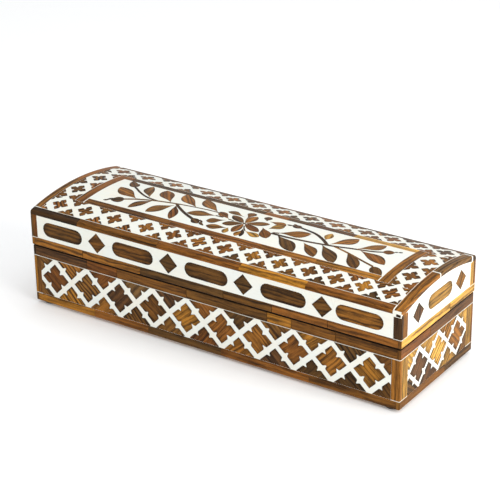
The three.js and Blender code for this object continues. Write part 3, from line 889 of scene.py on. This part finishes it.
scroll = {
    "leafSwell": 1.13, "petalSwell": 1.06, "stemSwell": 1.18, "stripe": 0.3, "grainLean": 0.3,
    "margins": (0.3, 0.2),  # bone left clear inside the frame, at the ends and along the sides
    # how full each kind is towards its stem and towards its tip: above 1 is hollow, below 1 is full
    "leafEnds": (1.3, 0.78), "petalEnds": (0.62, 0.7), "sprayEnds": (1.1, 0.7), "budEnds": (0.75, 0.75),
    # the points that a stem passes, its wood, its width at the start and at the end
    "stems": [
        ([(128, 56.3), (118, 56.2), (107, 55.3), (96, 54)], "umber", 0.9, 1.1),
        ([(96, 54), (87, 52.3), (78, 50.2), (68, 47), (60, 43.5), (54, 40.3)], "smoke", 1.4, 1.7),
        ([(92, 53.4), (98, 48.6), (107, 42.9), (117.5, 37.9)], "ebony", 1.8, 2.1),
        ([(77, 50.2), (67, 51.8), (58, 56), (51, 60.8), (47, 63.4)], "ebony", 1.4, 1.5),
        ([(177, 46.2), (190, 46.2), (203, 47.2), (215, 48.8), (225, 50.6),
          (235, 53.2), (245, 55.6), (252, 57.6), (257, 60.2)], "ebony", 1.8, 1.5),
        ([(219.5, 50), (213, 55.6), (204, 61.4), (195, 64.2), (188, 65.6)], "ebony", 2.1, 1.8),
        ([(224, 50.6), (236, 47), (249, 42.2), (262, 37.6)], "olive", 1.4, 1.4),
        ([(62, 45.3), (66, 46.4)], "umber", 1.0, 1.2),
        ([(128, 50.8), (134, 51.0)], "umber", 1.2, 0.9),
        ([(139, 50.5), (143.6, 49.9)], "umber", 1.0, 0.6),
        ([(245.5, 55.6), (240, 54.4)], "chestnut", 1.6, 1.4),
        ([(177.5, 47.6), (182, 48.9)], "umber", 0.9, 1.4),
        ([(154.6, 46.8), (156.4, 43.8), (159.4, 40.4)], "umber", 0.8, 0.7),
    ],
    # where a leaf starts, its tip, how far it swells on each side, its wood, where it is widest
    "leaves": [
        ((62.5, 45.3), (39, 57), 5.6, 3.9, "oak", 0.6),
        ((68.5, 52.3), (58, 72), 5.4, 1.6, "olive", 0.58),
        ((87.5, 52.6), (70.8, 71.3), 5.9, 3.9, "teak", 0.62),
        ((107.5, 55.6), (87, 73.6), 6.2, 2.2, "oak", 0.58),
        ((125.5, 56.8), (104.5, 73.8), 6.0, 2.2, "oak", 0.58),
        ((74.5, 48.6), (65, 31.4), 2.2, 4.2, "walnut", 0.55),
        ((92.5, 50), (80, 32), 3.6, 4.8, "olive", 0.58),
        ((93.5, 51.5), (102, 30.6), 3.8, 2.3, "russet", 0.58),
        ((128.5, 50.8), (107.5, 44.2), 2.8, 4.9, "olive", 0.6),
        ((180, 48.3), (201, 60), 3.4, 6.3, "oak", 0.64),
        ((182, 46.1), (204.5, 30.3), 5.2, 3.8, "umber", 0.6),
        ((204, 45), (220.5, 30.4), 4.8, 2.5, "chestnut", 0.58),
        ((216, 48.9), (236.5, 29.2), 5.0, 3.5, "umber", 0.6),
        ((236.5, 47.6), (253.5, 29), 4.5, 3.1, "walnut", 0.62),
        ((243, 54), (267.5, 43), 5.4, 3.0, "teak", 0.58),
        ((214, 56.6), (212, 68.8), 2.6, 2.9, "wheat", 0.5),
        ((220.5, 51.5), (232, 71.5), 2.6, 6.2, "oak", 0.6),
        ((240, 55.3), (253, 72), 2.4, 5.6, "olive", 0.6),
    ],
    # the flower: its petals start round a small eye and run out to these tips
    "flowerCentre": (152.4, 50), "eye": 1.0, "petalStart": 1.1,
    "petals": [
        ((153.4, 65.4), 3.4, 3.4, "oak", 0.58),
        ((168.3, 58.3), 3.3, 3.2, "olive", 0.6),
        ((168.6, 43.4), 3.0, 3.1, "russet", 0.55),
        ((152, 34.9), 3.1, 3.1, "teak", 0.58),
        ((138.9, 42.2), 3.2, 3.4, "walnut", 0.6),
        ((137.9, 57.6), 3.1, 3.1, "chestnut", 0.58),
    ],
    "sprays": [
        ((149.5, 55.5), (147.3, 70.2), 3.0, 3.1, "chestnut", 0.78),
        ((146, 59.8), (131, 61.8), 1.4, 3.9, "olive", 0.68),
        ((139.3, 50.6), (126.8, 58.2), 3.2, 2.8, "teak", 0.66),
        ((138.5, 48.2), (127, 40.2), 3.2, 3.5, "olive", 0.68),
        ((145.6, 38.2), (130.8, 34.6), 3.4, 2.6, "olive", 0.62),
        ((146.4, 39.2), (147.6, 31), 2.1, 2.1, "wheat", 0.6),
        ((156.3, 43.2), (160.8, 31.8), 1.8, 1.4, "ebony", 0.6),
        ((157.2, 39.2), (156.9, 31), 1.7, 2.4, "amber", 0.55),
        ((159.4, 40.2), (173, 37.2), 2.4, 2.8, "wheat", 0.64),
        ((167.2, 51), (178.4, 38), 3.7, 3.7, "teak", 0.62),
        ((165.4, 62.8), (179, 61.6), 3.9, 1.8, "oak", 0.62),
        ((171.6, 51.4), (178.4, 61.6), 3.4, 3.4, "wheat", 0.6),
        ((163, 62), (160, 70.2), 2.6, 2.7, "plum", 0.62),
    ],
    # rounded buds with the small bits beyond them
    "buds": [
        ((55.2, 40.6), (46.6, 35.4), 4.3, 4.1, "umber", 0.43),
        ((47.6, 38.6), (43.8, 34.6), 1.3, 1.0, "ebony", 0.5),
        ((45.4, 34.6), (41.8, 32.8), 1.0, 0.9, "umber", 0.5),
        ((47.6, 62.3), (38.4, 73.2), 3.5, 3.4, "walnut", 0.36),
        ((48.2, 63.6), (46.0, 70.4), 1.0, 1.5, "umber", 0.45),
        ((116.4, 39.2), (124.0, 34.2), 3.1, 3.2, "umber", 0.5),
        ((122.4, 39.4), (126.2, 36.4), 1.0, 0.8, "ebony", 0.5),
        ((123.6, 36.2), (129.4, 33.4), 1.1, 1.2, "umber", 0.45),
        ((190.0, 65.0), (181.6, 66.6), 3.0, 2.9, "plum", 0.48),
        ((182.4, 65.4), (178, 65.0), 1.2, 1.1, "umber", 0.5),
        ((184.4, 68.3), (181.2, 68.7), 0.8, 0.7, "umber", 0.5),
        ((256.4, 60.2), (263.8, 63.8), 3.5, 3.6, "chestnut", 0.5),
        ((263.2, 64.4), (265.2, 65.8), 0.9, 0.8, "umber", 0.5),
        ((265.2, 65.6), (268.2, 67.2), 0.9, 0.9, "umber", 0.5),
        ((261.8, 37.4), (273, 28.9), 3.4, 4.4, "walnut", 0.43),
    ],
}


def addLeaf(bm, base, tip, left, right, wood, peak, ends, steps=14):
    # a leaf between two points with its own bulge on each side
    base, tip = Vector(base), Vector(tip)
    line = tip - base
    side = Vector((-line.y, line.x)).normalized()
    power = math.log(0.5) / math.log(peak)
    seed, slipU, slipV = newCut()
    uvOf = grainAt(math.atan2(line.y, line.x) + about(scroll["grainLean"]), slipU, slipV)
    spine, leftRing, rightRing = [], [], []
    for step in range(steps + 1):
        t = step / steps
        fullness = ends[0] if t < peak else ends[1]
        swell = math.sin(math.pi * t ** power) ** fullness if 0 < t < 1 else 0.0
        middle = base + line * t
        spine.append(bm.verts.new((*(middle + side * (left - right) / 2 * swell), 0)))
        if 0 < step < steps:
            leftRing.append(bm.verts.new((*(middle + side * left * swell), 0)))
            rightRing.append(bm.verts.new((*(middle - side * right * swell), 0)))
    rims = dict.fromkeys(leftRing + rightRing + [spine[0], spine[-1]], 1.0)
    for ring, flip in ((leftRing, False), (rightRing, True)):
        faces = [(spine[0], spine[1], ring[0])]
        for i in range(len(ring) - 1):
            faces.append((spine[i + 1], spine[i + 2], ring[i + 1], ring[i]))
        faces.append((spine[-2], spine[-1], ring[-1]))
        for corners in faces:
            face = bm.faces.new(corners[::-1] if flip else corners)
            paintFace(bm, face, wood, uvOf, scroll["stripe"], seed, rims)


def smoothPath(points):
    # passes a soft curve through the points
    steps = 6  # between one point and the next
    points = [Vector(p) for p in points]
    padded = [2 * points[0] - points[1]] + points + [2 * points[-1] - points[-2]]
    path = []
    for a, b, c, d in zip(padded, padded[1:], padded[2:], padded[3:]):
        for step in range(steps):
            t = step / steps
            bend = (2 * a - 5 * b + 4 * c - d) * t * t + (3 * b - a - 3 * c + d) * t ** 3
            path.append(0.5 * (2 * b + (c - a) * t + bend))
    return path + [points[-1]]


def addStem(bm, points, wood, width, endWidth):
    path = smoothPath(points)
    last = len(path) - 1
    seed, slipU, slipV = newCut()
    left, right, where = [], [], {}
    run = 0.0
    for i, p in enumerate(path):
        if i:
            run += (p - path[i - 1]).length
        ahead = (path[min(i + 1, last)] - path[max(i - 1, 0)]).normalized()
        side = Vector((-ahead.y, ahead.x))
        half = (width + (endWidth - width) * i / last) / 2
        for edge, way in ((left, 1), (right, -1)):
            edge.append(bm.verts.new((*(p + side * half * way), 0)))
            where[edge[-1]] = (run + slipU, 0.6 * way + slipV)
    for i in range(last):
        face = bm.faces.new((right[i], right[i + 1], left[i + 1], left[i]))
        paintFace(bm, face, wood, where.get, scroll["stripe"], seed)


bm = newSheet()
for points, wood, width, endWidth in scroll["stems"]:
    addStem(bm, points, wood, width * scroll["stemSwell"], endWidth * scroll["stemSwell"])
swell = scroll["leafSwell"]
for base, tip, left, right, wood, peak in scroll["leaves"]:
    addLeaf(bm, base, tip, left * swell, right * swell, wood, peak, scroll["leafEnds"])
flowerCentre = Vector(scroll["flowerCentre"])
addTile(bm, pillOutline(2 * scroll["eye"], 2 * scroll["eye"]), flowerCentre, "umber", 0.0)
petalSwell = scroll["petalSwell"]
for tip, left, right, wood, peak in scroll["petals"]:
    base = flowerCentre + (Vector(tip) - flowerCentre).normalized() * scroll["petalStart"]
    addLeaf(bm, base, tip, left * petalSwell, right * petalSwell, wood, peak, scroll["petalEnds"])
for base, tip, left, right, wood, peak in scroll["sprays"]:
    addLeaf(bm, base, tip, left * swell, right * swell, wood, peak, scroll["sprayEnds"])
for base, tip, left, right, wood, peak in scroll["buds"]:
    addLeaf(bm, base, tip, left, right, wood, peak, scroll["budEnds"], steps=10)
marginX, marginS = scroll["margins"]
panelX, panelS = panelLow.x - lidLow.x + marginX, overDome((panelHigh.y - panelLow.y) / 2) - marginS
keepInside(bm, panelX, lidLength - panelX, crownS - panelS, crownS + panelS)
cutForDome(bm)
layTiles(bm, "lid_scroll", "lid", onDome)
print("scroll laid")


# hinges and feet

hardware = {
    "hinge": {"finish": brassFinish, "bevel": 0.08},
    "foot": {"finish": feltFinish, "bevel": 0.25},
}
for node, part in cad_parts.items():
    kit = hardware.get(node.split("_")[0])
    if kit:
        part.data.materials.clear()
        part.data.materials.append(kit["finish"])
        easeEdges(part, kit["bevel"], 40)

screwKit = {
    "head": 1.6, "rise": 0.12, "sides": 28, "inset": 3.6, "spread": 10.0, "stagger": 0.4,
    "slot": 0.28, "slotFloor": 0.02, "slotDepth": 0.1, "slotEdge": 0.02,
}


def makeScrew(name, x, y, z, up, body):
    # a flat head with a raised centre and a slot cut across it
    head, rise, sides, slot = (screwKit[key] for key in ("head", "rise", "sides", "slot"))
    turn = random.uniform(0, math.pi)
    angles = [2 * math.pi * i / sides for i in range(sides)]
    bm = bmesh.new()
    rings = []
    for radius, height in ((head, 0.0), (head * 0.92, rise * 0.7), (head * 0.6, rise)):
        rings.append([bm.verts.new((radius * math.cos(a), radius * math.sin(a), height)) for a in angles])
    for lower, upper in zip(rings, rings[1:]):
        for i in range(sides):
            j = (i + 1) % sides
            bm.faces.new((lower[i], lower[j], upper[j], upper[i]))
    bm.faces.new(rings[-1])
    bm.faces.new(rings[0][::-1])
    for side in (-1, 1):
        slicePlane(bm, (0, side * slot, 0), (0, 1, 0))
    for vert in bm.verts:
        if abs(vert.co.y) < slot - 1e-4:
            vert.co.z = min(vert.co.z, screwKit["slotFloor"])
    inSlot = [f for f in bm.faces if f.normal.z > 0.9 and abs(f.calc_center_median().y) < slot]
    bmesh.ops.inset_region(bm, faces=inSlot, thickness=screwKit["slotEdge"], depth=-screwKit["slotDepth"])
    facing = Matrix.Rotation(0 if up else math.pi, 4, "X")
    matrix = Matrix.Translation((x, y, z)) @ facing @ Matrix.Rotation(turn, 4, "Z")
    bmesh.ops.transform(bm, matrix=matrix, verts=bm.verts)
    screw = linkPiece(bm, name, (brassFinish,))
    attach(screw, body)


for side in ("left", "right"):
    for body, goesUp in (("base", True), ("lid", False)):
        leaf = f"hinge_{side}_{body}_leaf"
        low, high = nodeBox(leaf)
        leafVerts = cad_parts[leaf].data.vertices
        flatHeights = [v.co.z / mm for v in leafVerts if v.co.y / mm < low.y + 1]  # clear of the knuckles
        level = max(flatHeights) if goesUp else min(flatHeights)
        for number in (-1, 0, 1):
            x = (low.x + high.x) / 2 + number * screwKit["spread"]
            y = low.y + screwKit["inset"] - screwKit["stagger"] * abs(number)
            makeScrew(f"hinge_{side}_{body}_screw_{number + 2}", x, y, level, goesUp, body)
print("hinges and feet finished")


# floor, light and camera

studio = {
    "floorSize": 60.0, "worldColour": (0.97, 0.985, 1.0, 1), "world": 0.75, "exposure": 0.0,
    "floor": {
        "Base Color": (0.97, 0.97, 0.97, 1), "Roughness": 0.6, "Specular IOR Level": 0.2,
        "Emission Color": (1, 1, 1, 1), "Emission Strength": 0.1,
    },
}
w = Wiring("pale floor")
w.dress(studio["floor"])
half = studio["floorSize"] / 2
floorMesh = bpy.data.meshes.new("floor")
floorCorners = [(-half, -half, 0), (half, -half, 0), (half, half, 0), (-half, half, 0)]
floorMesh.from_pydata(floorCorners, [], [(0, 1, 2, 3)])
floorMesh.materials.append(w.material)
floor = bpy.data.objects.new("floor", floorMesh)
scene.collection.objects.link(floor)
floor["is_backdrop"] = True

world = bpy.data.worlds.new("studio")
scene.world = world
world.use_nodes = True
background = world.node_tree.nodes["Background"]
background.inputs["Color"].default_value = studio["worldColour"]
background.inputs["Strength"].default_value = studio["world"]

lamps = {
    "side": {"at": (1.0, -0.15, 0.42), "size": 0.7, "watts": 9, "colour": (1.0, 0.985, 0.95)},
    "fill": {"at": (-0.5, -1.3, 0.8), "size": 1.2, "watts": 0.8, "colour": (0.97, 0.985, 1.0)},
    "top": {"at": (0.1, 0.3, 1.4), "size": 1.2, "watts": 4.6, "colour": (1.0, 1.0, 1.0)},
}
lampAim = Vector((0, 0, 0.04))
for name, lamp in lamps.items():
    data = bpy.data.lights.new(name, "AREA")
    data.energy = lamp["watts"]
    data.size = lamp["size"]
    data.color = lamp["colour"]
    light = bpy.data.objects.new(name, data)
    light.location = lamp["at"]
    light.rotation_mode = "QUATERNION"
    light.rotation_quaternion = (lampAim - Vector(lamp["at"])).to_track_quat("-Z", "Y")
    scene.collection.objects.link(light)

cameraKit = {
    # angles in degrees, distance and aim in millimetres
    "azimuth": 34.23, "elevation": 24.5, "roll": -0.78, "distance": 1173.0, "aim": (4.6, -3.7, 61.05),
    "lens": 121.7, "sensor": 36, "nearest": 0.01, "farthest": 100,
}
azimuth, elevation, roll = (math.radians(cameraKit[key]) for key in ("azimuth", "elevation", "roll"))
level = math.cos(elevation)
back = Vector((math.sin(azimuth) * level, -math.cos(azimuth) * level, math.sin(elevation)))
right = Vector((math.cos(azimuth), math.sin(azimuth), 0))
above = back.cross(right)
across = right * math.cos(roll) + above * math.sin(roll)
above = above * math.cos(roll) - right * math.sin(roll)
cameraData = bpy.data.cameras.new("camera")
cameraData.lens = cameraKit["lens"]
cameraData.sensor_width = cameraKit["sensor"]
cameraData.clip_start, cameraData.clip_end = cameraKit["nearest"], cameraKit["farthest"]
camera = bpy.data.objects.new("camera", cameraData)
turn = Matrix((across, above, back)).transposed().to_4x4()
stand = Vector(cameraKit["aim"]) + back * cameraKit["distance"]
camera.matrix_world = Matrix.Translation(stand * mm) @ turn
scene.collection.objects.link(camera)
scene.camera = camera
scene.view_settings.view_transform = "Standard"
scene.view_settings.look = "None"
scene.view_settings.exposure = studio["exposure"]
print("camera and lights set")

low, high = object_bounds()
